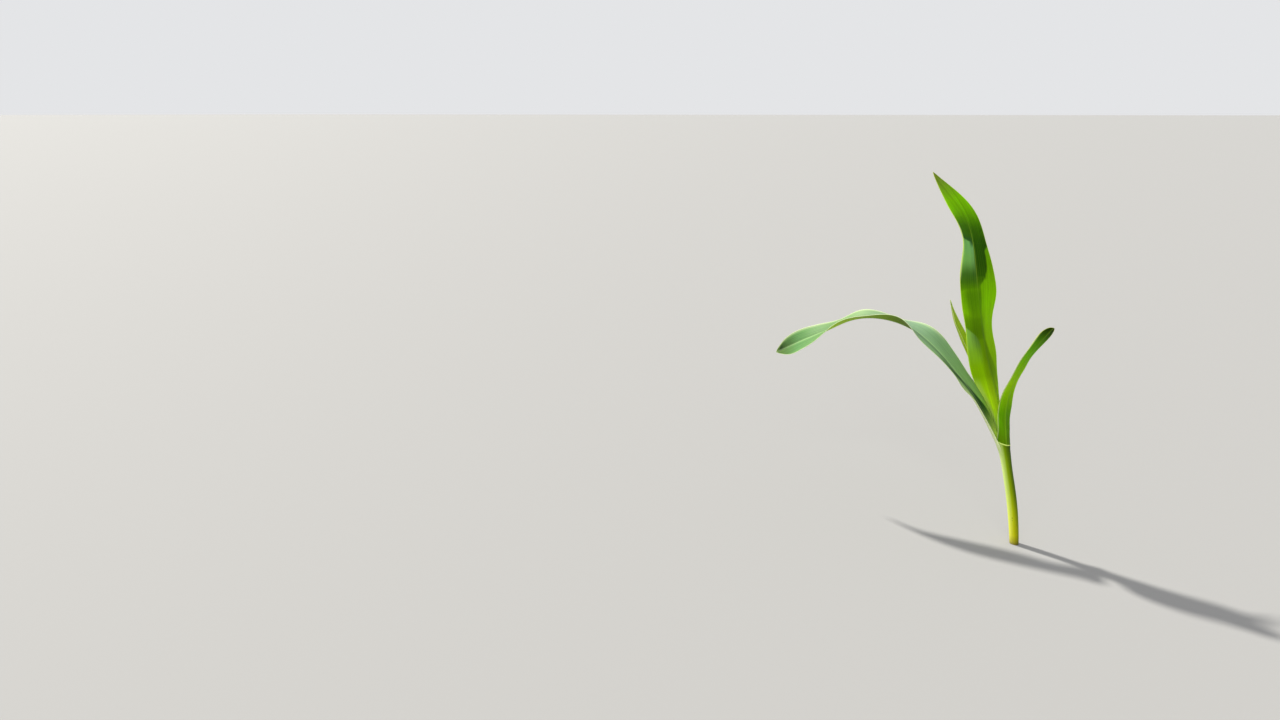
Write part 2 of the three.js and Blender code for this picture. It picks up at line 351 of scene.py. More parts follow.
def blade_faces(name):
    """Upper and under points of a blade with its sheath's end, and what the material reads at each."""
    points, normals, half, t, u = blade_layer(name)
    rows, facing, shares = sheath_layer(name, points[0], normals[0])
    points = np.concatenate([rows, points])
    normals = np.concatenate([facing, normals])
    half = np.concatenate([np.repeat(half[:1], len(rows), 0), half])
    t = np.concatenate([shares, t])
    blade = np.clip(t, 0, 1)[:, None]
    a = np.abs(u)[None, :]
    near_tip = smooth(NEAR_TIP["start"], 1, blade)
    vein = ((1 + np.cos(TURN * VEINS[name] * u[None, :])) / 2) ** VEIN_RELIEF["sharpness"]
    relief = VEIN_RELIEF["height"] * vein * smooth(0, VEIN_RELIEF["plain"], 1 - a) * (1 - near_tip)
    depth = (RIB_DEPTH + (MARGIN_DEPTH - RIB_DEPTH) * a) * (1 - NEAR_TIP["thinning"] * near_tip)
    room = KEELS[name] * np.minimum(1, half / KEEL_SPREAD["room"]) * (1 - KEEL_SPREAD["fading"] * blade)
    room = room * smooth(*KEEL_SPREAD["start"], t)[:, None]
    above = depth / 2 - GROOVE["height"] * room * bell(a * half, GROOVE["width"])
    above = above + relief * VEIN_RELIEF["above"]
    below = depth / 2 + KEEL["height"] * room * bell(a * half, KEEL["width"]) + relief
    return points + above[..., None] * normals, points - below[..., None] * normals, half, t, u


def round_values(points):
    """Height of points as a share of the stem's, and the side of the stem that they lie on."""
    out = points - stem_middle(points[..., 2])
    away = np.maximum(np.hypot(out[..., 0], out[..., 1]), LEAST_LENGTH)
    return dict(height=points[..., 2] / STEM_TOP[2], east=out[..., 0] / away, north=out[..., 1] / away)


def tube_faces(rings, sides):
    """Faces of a closed tube from its first ring to its last, and the two end caps."""
    k, j = np.meshgrid(np.arange(rings - 1), np.arange(sides), indexing="ij")
    following = (j + 1) % sides
    this, above = k * sides, (k + 1) * sides
    quads = np.stack([this + j, this + following, above + following, above + j], -1)
    last = (rings - 1) * sides
    return quads.reshape(-1, 4), [list(range(sides))[::-1], list(range(last, last + sides))]


def closed_blade(name):
    """One closed mesh of a blade: points, faces and the values that its material reads."""
    over, under, half, t, u = blade_faces(name)
    rows, columns = half.shape
    points = np.concatenate([over, under[:, ::-1]], 1)
    size = points.shape[1]
    quads, _ = tube_faces(rows, size)
    step = np.arange(columns - 1)
    root_cap = np.stack([step, size - 1 - step, size - 2 - step, step + 1], 1)
    tip_cap = root_cap[:, ::-1] + (rows - 1) * size
    faces = np.concatenate([quads, root_cap, tip_cap])
    above = leaf_values(name, "upper", over, t, u)
    below = leaf_values(name, "under", under, t, u)
    values = {key: np.concatenate([above[key], below[key][:, ::-1]], 1).ravel() for key in above}
    values["upper"] = np.tile(np.repeat([1.0, 0.0], columns), rows)
    values["half"] = np.concatenate([half, half[:, ::-1]], 1).ravel()
    return points.reshape(-1, 3), faces, values, ()


# Stem: rings and sides of its mesh, fine ribs, the free edge of the outer sheath, and a rounded top. The
# edge's turn from the leaf rank and its spread are in radians.
STEM_RINGS = 260
STEM_SIDES = 144
STEM_RIBS = dict(count=34, height=0.022)
SHEATH_EDGE = dict(turn=0.93 * math.pi, depth=0.05, spread=0.1)
DOME = dict(height=2.4, rings=14)


def stem_mesh():
    """Closed mesh of the stem."""
    turn = np.linspace(0, TURN, STEM_SIDES, endpoint=False)
    heights = np.linspace(0, STEM_TOP[2], STEM_RINGS)
    rise = np.linspace(0, math.pi / 2, DOME["rings"] + 1)[1:-1]
    heights = np.concatenate([heights, STEM_TOP[2] + DOME["height"] * np.sin(rise)])
    shrink = np.concatenate([np.ones(STEM_RINGS), np.cos(rise)])[:, None]
    past_edge = smooth(0, SHEATH_EDGE["spread"], (turn - SHEATH_EDGE["turn"]) % TURN)
    relief = STEM_RIBS["height"] * np.cos(STEM_RIBS["count"] * turn) - SHEATH_EDGE["depth"] * past_edge
    radius = (stem_radius(np.minimum(heights, STEM_TOP[2])[:, None], turn[None, :]) + relief) * shrink
    angle = turn + math.radians(NEAR_RANK)
    around = np.stack([np.cos(angle), np.sin(angle), np.zeros(STEM_SIDES)], -1)
    points = stem_middle(heights)[:, None, :] + radius[..., None] * around[None]
    quads, caps = tube_faces(len(heights), STEM_SIDES)
    values = {key: value.ravel() for key, value in round_values(points).items()}
    return points.reshape(-1, 3), quads, values, caps


def make_object(name, points, faces, values, caps):
    """An object of one smooth mesh, with a float attribute for each of the values."""
    mesh = bpy.data.meshes.new(name)
    mesh.from_pydata((points * MM).tolist(), [], faces.tolist() + list(caps))
    for key, data in values.items():
        attribute = mesh.attributes.new(key, "FLOAT", "POINT")
        attribute.data.foreach_set("value", np.asarray(data, np.float32))
    mesh.update()
    piece = bpy.data.objects.new(name, mesh)
    bpy.context.scene.collection.objects.link(piece)
    for polygon in mesh.polygons:
        polygon.use_smooth = True
    return piece


NOISE_DETAIL = 2.0

# Inputs of Blender's Mix node for the share and the two ends, when it mixes numbers and when colours
NUMBER_INPUTS = (0, 2, 3)
COLOUR_INPUTS = (0, 6, 7)
MIXED_COLOUR = 2


class Nodes:
    """Short ways to add nodes to one material."""

    def __init__(self, name):
        self.material = bpy.data.materials.new(name)
        self.material.use_nodes = True
        self.tree = self.material.node_tree
        self.tree.nodes.clear()

    def add(self, kind, **settings):
        node = self.tree.nodes.new(kind)
        for key, value in settings.items():
            setattr(node, key, value)
        return node

    def put(self, socket, value):
        """Links a socket or sets a plain value."""
        if isinstance(value, bpy.types.NodeSocket):
            self.tree.links.new(value, socket)
        elif isinstance(value, (tuple, list)) and len(value) == 3 and socket.type == "RGBA":
            socket.default_value = (*value, 1)
        else:
            socket.default_value = value

    def attribute(self, name):
        return self.add("ShaderNodeAttribute", attribute_name=name).outputs["Fac"]

    def math(self, operation, a, b=0.0, c=0.0):
        node = self.add("ShaderNodeMath", operation=operation)
        for socket, value in zip(node.inputs, (a, b, c)):
            self.put(socket, value)
        return node.outputs[0]

    def step(self, low, high, value):
        node = self.add("ShaderNodeMapRange", interpolation_type="SMOOTHSTEP")
        self.put(node.inputs["Value"], value)
        self.put(node.inputs["From Min"], low)
        self.put(node.inputs["From Max"], high)
        return node.outputs[0]

    def mix(self, share, a, b, blend="MIX"):
        node = self.add("ShaderNodeMix", data_type="RGBA", blend_type=blend)
        for k, value in zip(COLOUR_INPUTS, (share, a, b)):
            self.put(node.inputs[k], value)
        return node.outputs[MIXED_COLOUR]

    def vector(self, x, y, z):
        node = self.add("ShaderNodeCombineXYZ")
        for socket, value in zip(node.inputs, (x, y, z)):
            self.put(socket, value)
        return node.outputs[0]

    def noise(self, vector, scale=1.0):
        node = self.add("ShaderNodeTexNoise")
        self.put(node.inputs["Vector"], vector)
        node.inputs["Scale"].default_value = scale
        node.inputs["Detail"].default_value = NOISE_DETAIL
        return node.outputs["Fac"]

    def place(self):
        """Coordinates of the object, in metres."""
        return self.add("ShaderNodeTexCoord").outputs["Object"]

    def bump(self, height, relief):
        """Normal that a height tilts, by the strength and distance of a relief."""
        node = self.add("ShaderNodeBump")
        node.inputs["Strength"].default_value = relief["strength"]
        node.inputs["Distance"].default_value = relief["distance"]
        self.put(node.inputs["Height"], height)
        return node.outputs[0]

    def blend(self, share, a, b):
        """Plain number from a to b."""
        node = self.add("ShaderNodeMix")
        for k, value in zip(NUMBER_INPUTS, (share, a, b)):
            self.put(node.inputs[k], value)
        return node.outputs[0]

    def ramp(self, share, stops):
        """Colour at a share, between stops given as (place, colour)."""
        node = self.add("ShaderNodeValToRGB")
        self.put(node.inputs[0], share)
        elements = node.color_ramp.elements
        while len(elements) < len(stops):
            elements.new(1.0)
        for element, (place, colour) in zip(elements, stops):
            element.position = place
            element.color = (*colour, 1)
        return node.outputs[0]

    def facing(self, side, east, north):
        """How far a point round the stem lies on a side of it, 0 to 1."""
        aim = compass(side["compass"])
        turned = self.math("MULTIPLY_ADD", east, float(aim[0]), self.math("MULTIPLY", north, float(aim[1])))
        node = self.add("ShaderNodeMapRange")
        self.put(node.inputs["Value"], turned)
        self.put(node.inputs["From Min"], side["begins"])
        self.put(node.inputs["From Max"], side["full"])
        return node.outputs[0]

    def finish(self, shader):
        output = self.add("ShaderNodeOutputMaterial")
        self.tree.links.new(shader, output.inputs["Surface"])
        return self.material


# The screen's colour curve: straight up to its knee, and a power beyond it
KNEE = 0.04045
KNEE_SLOPE = 12.92
CURVE_OFFSET = 0.055
CURVE_POWER = 2.4


def srgb(*channels):
    """A colour given as the screen shows it, 0 to 255, as Blender's linear values."""
    values = [channel / 255 for channel in channels]
    return tuple(
        c / KNEE_SLOPE if c <= KNEE else ((c + CURVE_OFFSET) / (1 + CURVE_OFFSET)) ** CURVE_POWER
        for c in values
    )


# Stem colours as (share of the height, colour). Two sides are painted over them: a whitish strip of painted
# light on the side towards the key light, and painted shade that darkens the side away from it. Each has the
# compass direction that it faces, the cosines of the turn away from it where it begins and is full, and the
# shares of the height between which it sets in. most is the strip's full share.
SHEATH_COLOURS = [
    (0.0, srgb(122, 108, 46)), (0.03, srgb(160, 152, 30)), (0.1, srgb(198, 196, 14)),
    (0.3, srgb(191, 199, 12)), (0.55, srgb(156, 179, 0)), (0.85, srgb(139, 170, 8)),
    (1.0, srgb(117, 150, 0)),
]
PAINTED_LIT_SIDE = dict(
    compass=200, begins=0.25, full=1.05, lowest=-0.3, highest=1.0, colour=srgb(220, 238, 164), most=0.66,
)
PAINTED_SHADE_SIDE = dict(compass=-20, begins=0.1, full=1.0, lowest=-1.0, highest=0.6, tint=(0.17, 0.22, 0.09))

# Fine streaks up the stem: waves round it, waves over its height, strength
SHEATH_STREAKS = dict(round=14.0, along=1.2, strength=0.16)

# Shader values of the stem. Cells are counted for each metre, and distances are in metres.
SHEATH_SUBSURFACE = dict(weight=0.3, radius=(0.002, 0.002, 0.0004))
SHEATH_ROUGHNESS = 0.4
SHEATH_SPECULAR = 0.06
SHEATH_BUMP = dict(cells=1800.0, strength=0.3, distance=0.00006)

# Dark specks on the stem as (height, compass direction, radius)
SPECKS = [(14.2, -96, 0.3), (12.8, -98, 0.24)]
SPECK_COLOUR = srgb(40, 34, 16)


def spaced(colours):
    """Evenly spaced stops for a ramp."""
    return [(k / (len(colours) - 1), colour) for k, colour in enumerate(colours)]


# Looks of each leaf. under, upper and glow are the colours of the two faces and of light through the blade,
# evenly spaced from root to tip. The first stops of leaf 2's upper face and of leaf 3 are brightened as
# painted light in the shaded pocket at the fork, and the last stops of leaf 1 are darkened as painted shade
# on its tip.
# rib is that of the rib and the veins, margin that of the edge, and the bloom colour that of a waxy bloom
# with painted sky sheen. join is the stretch in millimetres where the sheath's colours turn into the blade's,
# on the under face and on the upper face. through is the share of light that passes through.
LEAF_LOOKS = {
    "leaf_1": dict(
        # The last stops of under and of glow are painted shade on the tip.
        under=[srgb(100, 140, 0), srgb(100, 155, 0), srgb(170, 220, 0), srgb(120, 200, 0), srgb(5, 30, 0)],
        upper=[srgb(120, 175, 70), srgb(105, 165, 60), srgb(95, 155, 60), srgb(80, 130, 60)],
        glow=[srgb(125, 185, 0), srgb(145, 205, 0), srgb(150, 205, 0), srgb(120, 180, 0), srgb(20, 55, 0)],
        rib=srgb(150, 195, 40), margin=srgb(215, 225, 100),
        join=((-0.25, 0.25), (-2.0, 2.0)), through=0.45,
    ),
    "leaf_2": dict(
        under=[
            srgb(195, 220, 120), srgb(170, 195, 80), srgb(102, 116, 15), srgb(165, 185, 30),
            srgb(140, 165, 50),
        ],
        # The first stop of upper is painted light in the shaded pocket at the fork.
        upper=[
            srgb(225, 250, 120), srgb(110, 155, 20), srgb(115, 150, 70), srgb(125, 152, 115),
            srgb(140, 150, 145), srgb(130, 152, 100), srgb(85, 118, 62), srgb(80, 128, 72),
            srgb(80, 95, 40),
        ],
        glow=[srgb(220, 235, 90), srgb(170, 210, 40), srgb(180, 220, 30), srgb(200, 235, 20)],
        rib=srgb(180, 210, 150), margin=srgb(230, 240, 195), bloom_and_sheen=srgb(128, 170, 128),
        join=((-6.0, 1.5), (-4.0, -1.0)), through=0.3,
    ),
    "leaf_3": dict(
        # The first two stops of under and of glow are painted light in the shaded pocket at the fork.
        under=[
            srgb(220, 255, 110), srgb(210, 245, 30), srgb(140, 180, 0), srgb(128, 172, 0),
            srgb(103, 155, 0), srgb(95, 142, 0), srgb(92, 145, 0), srgb(108, 168, 0), srgb(95, 110, 50),
        ],
        upper=[srgb(130, 180, 70), srgb(110, 165, 80), srgb(105, 155, 85), srgb(110, 155, 70)],
        glow=[
            srgb(215, 255, 20), srgb(215, 245, 0), srgb(160, 196, 0), srgb(172, 203, 0),
            srgb(170, 210, 0), srgb(165, 205, 0), srgb(165, 220, 0), srgb(192, 236, 0), srgb(170, 165, 40),
        ],
        rib=srgb(150, 180, 50), margin=srgb(220, 235, 90), bloom_and_sheen=srgb(112, 148, 142),
        join=((-6.0, -1.0), (-6.0, -1.0)), through=0.55,
    ),
    "leaf_4": dict(
        under=[srgb(240, 250, 140), srgb(205, 225, 50), srgb(180, 202, 45), srgb(155, 168, 95)],
        upper=[srgb(240, 250, 140), srgb(205, 225, 50), srgb(192, 214, 45), srgb(138, 158, 80)],
        glow=[srgb(240, 250, 70), srgb(205, 228, 10), srgb(202, 226, 5), srgb(175, 198, 35)],
        rib=srgb(180, 205, 60), margin=srgb(230, 238, 160),
        join=((-6.0, -1.0), (-6.0, -1.0)), through=0.45,
    ),
}

# Collar line of leaf 1 on its under face: its distance past the root at the middle, and how that changes
# from the middle to the right margin
COLLAR_LINES = {"leaf_1": (0.4, -2.2)}

# Marks on the blades. The deep marks darken the green: by the ribs this is thicker tissue, but most of them
# are painted shade, such as painted cast shadows on leaf 3, the shaded trough of leaf 2 and the shaded tips
# of leaves
# 1 and 2. The bloom marks are a waxy bluish bloom with painted sky sheen, and on leaf 3 a painted reflection.
# The pale marks are whitish margin tissue, in part with painted light where an edge faces the key light. Each
# runs along the leaf from start to stop, and across it from its left to its right edge, where -1 and 1 are
# the margins. ends are the shares of the leaf over which it fades before start and after stop, and sides
# those of half a blade over which it fades to the left and to the right. The lists are spaced evenly from
# start to stop.
# A mark with a face is on that face alone. OFF is well past a margin.
OFF = 1.3
MARKS = {
    # On leaf 1 the first deep mark darkens the middle, more towards the tip, and the second is painted shade
    # on the tip. The pale mark is the left margin's pale edge with painted light where the key light strikes
    # it.
    "leaf_1": [
        dict(key="deep", start=0, stop=1, ends=(0, 0), sides=(0.5, 0.5),
             left=[0.1, 0.1, -0.1], right=[0.3, 0.3, 0.1], amount=[0.15, 0.1, 0.05, 0.05, 0.1, 0.3]),
        dict(key="deep", start=0.95, stop=1, ends=(0.12, 0), sides=(0, 0),
             left=[-OFF, -OFF], right=[OFF, OFF], amount=[0.4, 0.5]),
        dict(key="pale_and_lit", start=0.02, stop=0.9, ends=(0.03, 0.05), sides=(0, 0.16),
             left=[-OFF, -OFF], right=[-0.97, -0.97], amount=[0.8, 0.6, 0.4, 0.5, 0.5, 0.6]),
    ],
    # On leaf 2 the deep marks on the upper face are painted shade in the trough and groove by the rib and on
    # the tip, and the one on the under face is painted shade under the arch. The pale marks are whitish
    # margins, with painted light near the root, and the bloom is waxy bloom with painted sky sheen.
    "leaf_2": [
        dict(key="deep", start=0.07, stop=0.3, ends=(0.05, 0.04), sides=(0.14, 0.2), face="upper",
             left=[-0.45, -0.4, -0.2, 0.0, 0.3, 0.35], right=[0.25, 0.2, 0.1, 0.25, 0.65, 0.7],
             amount=[0.55, 0.95, 1.0, 0.8, 0.85, 0.4]),
        dict(key="deep", start=0.3, stop=0.43, ends=(0.03, 0.03), sides=(0.12, 0.2), face="upper",
             left=[0.12, 0.2], right=[0.28, 0.32], amount=[0.35, 0.3, 0.3]),
        dict(key="deep", start=0.925, stop=0.985, ends=(0.06, 0.01), sides=(0.3, 0.08), face="upper",
             left=[-0.5, -0.6, -0.5, 0.0], right=[0.06, 0.12, 0.15, 0.3], amount=[0.3, 0.55, 0.85, 0.5]),
        dict(key="pale_and_lit", start=0.12, stop=0.2, ends=(0.03, 0.05), sides=(0.15, 0), face="upper",
             left=[0.3, 0.4, 0.65], right=[OFF, OFF], amount=[0.5, 0.65, 0.45]),
        dict(key="pale_and_lit", start=0.38, stop=0.97, ends=(0.04, 0.02), sides=(0, 0.2), face="upper",
             left=[-OFF, -OFF], right=[-0.95, -0.95], amount=[0.3, 0.3, 0.3, 0.5]),
        dict(key="bloom_and_sheen", start=0.1, stop=1, ends=(0.1, 0), sides=(0, 0), face="upper",
             left=[-OFF, -OFF], right=[OFF, OFF], amount=[0.1, 0.5, 0.5, 0.5, 0.4, 0.3, 0.2, 0.2, 0.05]),
        dict(key="pale_and_lit", start=-0.06, stop=0.18, ends=(0.02, 0.1), sides=(0.4, 0), face="under",
             left=[0.6, 0.6, 0.8], right=[OFF, OFF], amount=[0.95, 0.9, 0.7]),
        dict(key="deep", start=0.42, stop=0.62, ends=(0.02, 0.06), sides=(0.4, 0), face="under",
             left=[0.0, 0.1], right=[OFF, OFF], amount=[0.5, 0.35, 0.2, 0.1]),
    ],
    # On leaf 3 the first deep mark is thicker tissue by the rib with painted shade from the curled left half,
    # the one from 0.38 to 0.44 is a painted shadow of leaf 4, and those from 0.555 to 0.735 are a painted
    # cast shadow of the blade's own bent top. Both bloom marks on leaf 3 are painted sheen, where sky and
    # light reflect from the blade.
    "leaf_3": [
        dict(key="pale_and_lit", start=0, stop=0.2, ends=(0, 0.06), sides=(0, 0.5),
             left=[-OFF, -OFF], right=[-0.85, -0.9, -1.0], amount=[0.5, 0.45, 0.3]),
        dict(key="deep", start=0.14, stop=0.52, ends=(0.08, 0.08), sides=(0.6, 0.14),
             left=[0.3, 0.3, 0.25, 0.0, -0.3, -0.3, -0.5], right=[1.0, 0.75, 0.56, 0.26, 0.1, 0.08, 0.12],
             amount=[0.15, 0.25, 0.35, 0.42, 0.45, 0.35, 0.4]),
        dict(key="deep", start=0.38, stop=0.44, ends=(0.01, 0.04), sides=(0.06, 0.4), face="under",
             left=[-0.25, -0.5, -0.87, -1.2], right=[0, 0], amount=[0.58, 0.58, 0.48]),
        dict(key="deep", start=0.555, stop=0.59, ends=(0.02, 0.06), sides=(0, 0.1), face="under",
             left=[-OFF, -OFF], right=[0.1, 0.32, 0.5], amount=[0.5, 0.7, 0.75]),
        dict(key="deep", start=0.59, stop=0.7, ends=(0.02, 0.01), sides=(0.08, 0.1), face="under",
             left=[-0.04, 0.0], right=[0.48, 0.6, 0.64, 0.67, 0.72, 1.1], amount=[0.85, 0.9, 0.9]),
        dict(key="deep", start=0.705, stop=0.735, ends=(0.025, 0.1), sides=(0.3, 0), face="under",
             left=[-0.1, -0.9, -OFF, -OFF], right=[OFF, OFF], amount=[0.9, 0.85, 0.75]),
        dict(key="bloom_and_sheen", start=0.65, stop=0.7, ends=(0.1, 0.03), sides=(0, 0.06), face="under",
             left=[-OFF, -OFF], right=[-0.03, -0.03, -0.05], amount=[0.6, 0.75, 0.75]),
        dict(key="pale_and_lit", start=0.62, stop=0.74, ends=(0.05, 0.05), sides=(0, 0.1), face="under",
             left=[-OFF, -OFF], right=[-0.98, -0.98], amount=[0.8, 0.8]),
        dict(key="bloom_and_sheen", start=0.34, stop=0.42, ends=(0.06, 0.008), sides=(0, 0.12), face="under",
             left=[-OFF, -OFF], right=[-0.25, -0.3, -0.5, -0.92], amount=[0.1, 0.25, 0.35, 0.35]),
    ],
    "leaf_4": [
        dict(key="deep", start=0, stop=1, ends=(0, 0), sides=(0.4, 0.4),
             left=[-0.05, -0.05], right=[0.05, 0.05], amount=[0.15, 0.15]),
    ],
}
# Tint of the deep marks at full strength: mostly painted shade, partly thicker tissue.
TISSUE_AND_SHADE_TINT = (0.03, 0.14, 0.03)
# Colour of the pale marks: whitish tissue, and in part painted light.
PALE_AND_LIT_COLOUR = srgb(232, 240, 190)

# Lengthwise streaks as (waves for each millimetre across, waves for each millimetre along, strength)
STREAKS = [(0.35, 0.025, 0.2), (1.5, 0.012, 0.26), (5.0, 0.03, 0.2)]
STREAK_OFFSET = 7.0

# Lines of the veins, the rib and the margin: how light they are, and the distances in millimetres from the
# rib's middle or from the edge up to which a line is full and by which it is gone
VEIN = dict(narrowness=5.0, light=0.16)
RIB = dict(full=0.15, gone=0.6)
MARGIN = dict(full=0.06, gone=0.34, light=0.8, glow=0.5)

# Lightness of the rib's line, evenly spaced from root to tip. On leaf 3 the rise from 0.6 to 0.7 is a painted
# highlight on the rib, and the rest is the rib's pale line.
RIB_LINE_AND_HIGHLIGHT = {
    "leaf_1": [0.3, 0.3], "leaf_2": [0.2, 0.2, 0.5, 0.5, 0.35, 0.3, 0.35, 0.5, 0.3],
    "leaf_3": [0.1, 0.1, 0.1, 0.1, 0.1, 0.05, 0.4, 0.65, 0.1, 0.15, 0.1], "leaf_4": [0.3, 0.3],
}

# Fine lengthwise ridges and cells of a blade's surface. Cells are counted for each metre.
RIDGES_PER_MM = 3.2
RIDGE_SHARE = 0.35
LEAF_BUMP = dict(cells=2600.0, strength=0.4, distance=0.00006)
LEAF_ROUGHNESS = dict(smoothest=0.34, range=0.14)
LEAF_SPECULAR = {"leaf_1": 0.06, "leaf_2": 0.12, "leaf_3": 0.05, "leaf_4": 0.1}


def mark_share(name, face, key, t, u):
    """Strength of one kind of mark on a face, rows by columns."""
    total = np.zeros((len(t), len(u)))
    rows, columns = t[:, None], u[None, :]
    for mark in MARKS[name]:
        if mark["key"] != key or mark.get("face", face) != face:
            continue
        place = (rows - mark["start"]) / (mark["stop"] - mark["start"])
        left, right, amount = (along(mark[part], place) for part in ("left", "right", "amount"))
        (low, high), (before, after) = mark["ends"], mark["sides"]
        share = fade(mark["start"] - rows, low) * fade(rows - mark["stop"], high)
        share = share * fade(left - columns, before) * fade(columns - right, after)
        total = np.maximum(total, share * amount)
    return total


def leaf_values(name, face, points, t, u):
    """What a leaf's material reads, on a layer of its points."""
    across = np.broadcast_to(u[None, :], points.shape[:2])
    share = np.broadcast_to(t[:, None], across.shape)
    past, slope = COLLAR_LINES.get(name, (0.0, 0.0))
    marks = {key: mark_share(name, face, key, t, u) for key in ("deep", "bloom_and_sheen", "pale_and_lit")}
    return dict(
        along=share, across=across, past=share * LEAVES[name]["length"] - past - slope * across,
        line=along(RIB_LINE_AND_HIGHLIGHT[name], share), **marks, **round_values(points),
    )


def sheath_colour(n):
    """Colour of the stem and of the sheath's end under each blade, by height, with painted shade and painted
    light by side.
    """
    height, east, north = (n.attribute(key) for key in ("height", "east", "north"))
    colour = n.ramp(height, SHEATH_COLOURS)
    wide = SHEATH_STREAKS["round"] / TURN
    round_it = [n.math("MULTIPLY", side, wide) for side in (east, north)]
    place = n.vector(*round_it, n.math("MULTIPLY", height, SHEATH_STREAKS["along"]))
    strength = SHEATH_STREAKS["strength"]
    shade = n.math("MULTIPLY_ADD", n.noise(place), 2 * strength, 1 - strength)
    colour = n.mix(1.0, colour, n.vector(shade, shade, shade), "MULTIPLY")
    # The first share is painted shade on the side away from the key light, the second a whitish strip of
    # painted light on the side towards it.
    deep, pale_and_lit = (
        n.math("MULTIPLY", n.facing(side, east, north), n.step(side["lowest"], side["highest"], height))
        for side in (PAINTED_SHADE_SIDE, PAINTED_LIT_SIDE)
    )
    colour = n.mix(deep, colour, n.mix(1.0, colour, PAINTED_SHADE_SIDE["tint"], "MULTIPLY"))
    return n.mix(n.math("MULTIPLY", pale_and_lit, PAINTED_LIT_SIDE["most"]), colour, PAINTED_LIT_SIDE["colour"])


def streak_shade(n, sideways, lengthwise):
    """Lengthwise streaks of a blade, as a factor about 1."""
    shade = 1.0
    for k, (wide, long, strength) in enumerate(STREAKS):
        place = n.vector(
            n.math("MULTIPLY", sideways, wide), n.math("MULTIPLY", lengthwise, long), k * STREAK_OFFSET
        )
        wave = n.math("MULTIPLY_ADD", n.noise(place), 2 * strength, 1 - strength)
        shade = n.math("MULTIPLY", shade, wave)
    return shade


def blade_colours(n, name, at, sideways, shade):
    """Colour of a blade's surface and of the light that comes through it."""
    look = LEAF_LOOKS[name]
    # The deep marks tint colour and glow darker: thicker tissue by the ribs, but mostly painted shade.
    tint = n.mix(at["deep"], (1.0, 1.0, 1.0), TISSUE_AND_SHADE_TINT)
    shades = n.mix(1.0, n.vector(shade, shade, shade), tint, "MULTIPLY")
    from_rib = n.math("ABSOLUTE", sideways)
    on_rib = n.step(RIB["gone"], RIB["full"], from_rib)
    on_margin = n.step(MARGIN["gone"], MARGIN["full"], n.math("SUBTRACT", at["half"], from_rib))
    waves = n.math("COSINE", n.math("MULTIPLY", at["across"], TURN * VEINS[name]))
    vein = n.math("POWER", n.math("DIVIDE", n.math("ADD", waves, 1.0), 2.0), VEIN["narrowness"])

    under, above, light = (n.ramp(at["along"], spaced(look[key])) for key in ("under", "upper", "glow"))
    colour = n.mix(at["upper"], under, above)
    # The bloom colour is a waxy bloom with painted sky sheen on leaf 2, and painted sheen, a reflection, on
    # leaf 3.
    if "bloom_and_sheen" in look:
        colour = n.mix(at["bloom_and_sheen"], colour, look["bloom_and_sheen"])
    colour = n.mix(1.0, colour, shades, "MULTIPLY")
    colour = n.mix(n.math("MULTIPLY", vein, VEIN["light"]), colour, look["rib"])
    colour = n.mix(n.math("MULTIPLY", on_rib, at["line"]), colour, look["rib"])
    # The pale marks mix in whitish margin tissue and, in part, painted light on edges that face the key
    # light.
    colour = n.mix(at["pale_and_lit"], colour, PALE_AND_LIT_COLOUR)
    colour = n.mix(n.math("MULTIPLY", on_margin, MARGIN["light"]), colour, look["margin"])
    glow = n.mix(at["pale_and_lit"], n.mix(1.0, light, shades, "MULTIPLY"), PALE_AND_LIT_COLOUR)
    glow = n.mix(n.math("MULTIPLY", on_margin, MARGIN["glow"]), glow, look["margin"])
    return colour, glow


def blade_normal(n, sideways):
    """Normal of a blade with its fine ridges and cells."""
    ridges = n.math("SINE", n.math("MULTIPLY", sideways, TURN * RIDGES_PER_MM))
    cells = n.noise(n.place(), LEAF_BUMP["cells"])
    return n.bump(n.math("MULTIPLY_ADD", ridges, RIDGE_SHARE, cells), LEAF_BUMP)


def leaf_material(name):
    """Opaque blade that scatters light from its surface and lets a share of it through."""
    look = LEAF_LOOKS[name]
    n = Nodes(name)
    keys = ("along", "across", "upper", "half", "past", "line", "deep", "bloom_and_sheen", "pale_and_lit")
    at = {key: n.attribute(key) for key in keys}
    sideways = n.math("MULTIPLY", at["across"], at["half"])
    shade = streak_shade(n, sideways, n.math("MULTIPLY", at["along"], LEAVES[name]["length"]))
    colour, glow = blade_colours(n, name, at, sideways, shade)
    under_join, upper_join = (n.step(low, high, at["past"]) for low, high in look["join"])
    on_blade = n.blend(at["upper"], under_join, upper_join)
    normal = blade_normal(n, sideways)

    surface = n.add("ShaderNodeBsdfPrincipled")
    n.put(surface.inputs["Base Color"], n.mix(on_blade, sheath_colour(n), colour))
    rough = n.math("MULTIPLY_ADD", shade, LEAF_ROUGHNESS["range"], LEAF_ROUGHNESS["smoothest"])
    n.put(surface.inputs["Roughness"], rough)
    surface.inputs["Specular IOR Level"].default_value = LEAF_SPECULAR[name]
    n.put(surface.inputs["Normal"], normal)
    through = n.add("ShaderNodeBsdfTranslucent")
    n.put(through.inputs["Color"], glow)
    n.put(through.inputs["Normal"], normal)
    mixed = n.add("ShaderNodeMixShader")
    n.put(mixed.inputs[0], n.math("MULTIPLY", on_blade, look["through"]))
    n.tree.links.new(surface.outputs[0], mixed.inputs[1])
    n.tree.links.new(through.outputs[0], mixed.inputs[2])
    return n.finish(mixed.outputs[0])


